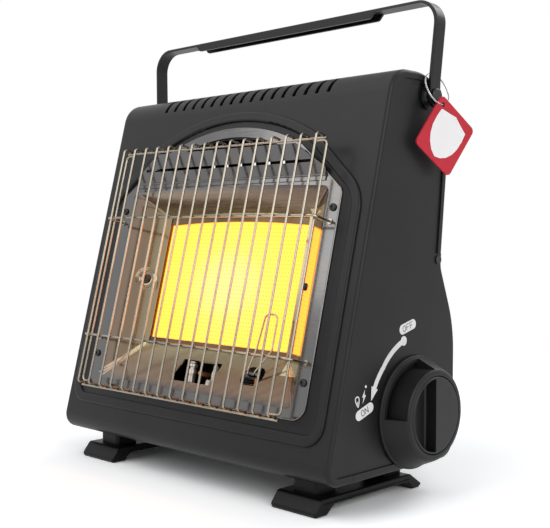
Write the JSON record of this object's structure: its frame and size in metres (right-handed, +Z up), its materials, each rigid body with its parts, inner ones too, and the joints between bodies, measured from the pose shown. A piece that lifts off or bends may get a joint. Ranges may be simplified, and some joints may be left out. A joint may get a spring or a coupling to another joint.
{
  "type": "portable gas heater",
  "caption": "Leaning sheet-steel cabinet with a ceramic radiant burner behind a wire guard, rear cartridge bay, side valve knob and folding strip handle.",
  "frame": {"origin": "middle of the four foot pads on the standing plane, in the cabinet's middle plane", "axes": "+Z up, -Y to the burner's front, +X to the knob's side"},
  "size_m": [0.2765, 0.1368, 0.3021],
  "materials": {
    "cabinet_black": "satin black powder coat on sheet steel",
    "bright_steel": "bright rolled steel, mirror-like on the flared walls",
    "chrome_wire": "chrome-plated wire",
    "plated_steel": "zinc-plated steel",
    "dark_steel": "heat-darkened steel",
    "dark_screw": "blackened screw",
    "glowing_ceramic": null,
    "white_ceramic": null,
    "brass": "turned brass",
    "handle_black": "satin black coated strip",
    "black_plastic": "black moulded plastic, fine grain",
    "knob_plastic": "black moulded knob, semi-gloss",
    "foot_plastic": "black moulded foot",
    "cast_valve": "die-cast alloy",
    "aluminium_pipe": "bright drawn tube",
    "lead_rubber": "black insulated lead",
    "ring_steel": "thin bright wire",
    "red_tag": "red plastic tag, semi-gloss"
  },
  "bodies": {
    "cabinet": {"front_fascia": "cabinet_black", "rear_panel": "cabinet_black", "base_plate": "cabinet_black", "side_panel_right": "cabinet_black", "side_panel_left": "cabinet_black", "door_hinge_pin": "plated_steel", "door_catch": "plated_steel", "reflector": "bright_steel", "deflector_hood": "bright_steel", "reflector_screws": "dark_screw", "wall_screws": "dark_screw", "guard_cross_wires": "chrome_wire", "guard_end_wires": "chrome_wire", "guard_ties": "chrome_wire", "burner_frame": "dark_steel", "ceramic_plaque": "glowing_ceramic", "burner_body": "plated_steel", "injector": "brass", "wire_guard": "chrome_wire", "handle_bolts": "dark_screw", "handle_washers": "plated_steel", "handle_nuts": "plated_steel", "knob_housing": "black_plastic", "gas_valve": "cast_valve", "cartridge_collar": "plated_steel", "cartridge_cradle": "plated_steel", "heat_shield": "plated_steel", "foot_rail_right": "foot_plastic", "foot_rail_left": "foot_plastic", "foot_necks": "foot_plastic", "foot_screws": "plated_steel", "pilot_burner": "brass", "spark_electrode": "white_ceramic", "flame_sensor": "brass", "sensor_loop": "plated_steel", "gas_pipe": "aluminium_pipe", "pilot_pipe": "aluminium_pipe", "ignition_lead": "lead_rubber", "piezo_igniter": "black_plastic"},
    "handle": {"carry_handle": "handle_black"},
    "tag": {"tag_ring": "ring_steel", "hang_tag": "red_tag"},
    "knob": {"control_knob": "knob_plastic", "valve_spindle": "plated_steel"},
    "door": {"cartridge_door": "cabinet_black"}
  },
  "joints": [
    {"name": "handle_fold", "type": "hinge", "parent": "cabinet", "child": "handle", "pos_m": [0, 0.0375, 0.243], "axis": [-1, 0, 0], "range_deg": [-100, 140]},
    {"name": "tag_swing", "type": "hinge", "parent": "handle", "child": "tag", "pos_m": [0.13177, 0.0375, 0.24717], "axis": [0.9272, 0, 0.3746], "range_deg": [-12, 12]},
    {"name": "knob_turn", "type": "hinge", "parent": "cabinet", "child": "knob", "pos_m": [0.13, 0.0227, 0.0529], "axis": [1, 0, 0], "range_deg": [0, 90]},
    {"name": "door_swing", "type": "hinge", "parent": "cabinet", "child": "door", "pos_m": [0, 0.04744, 0.144], "axis": [1, 0, 0], "range_deg": [0, 95]}
  ]
}
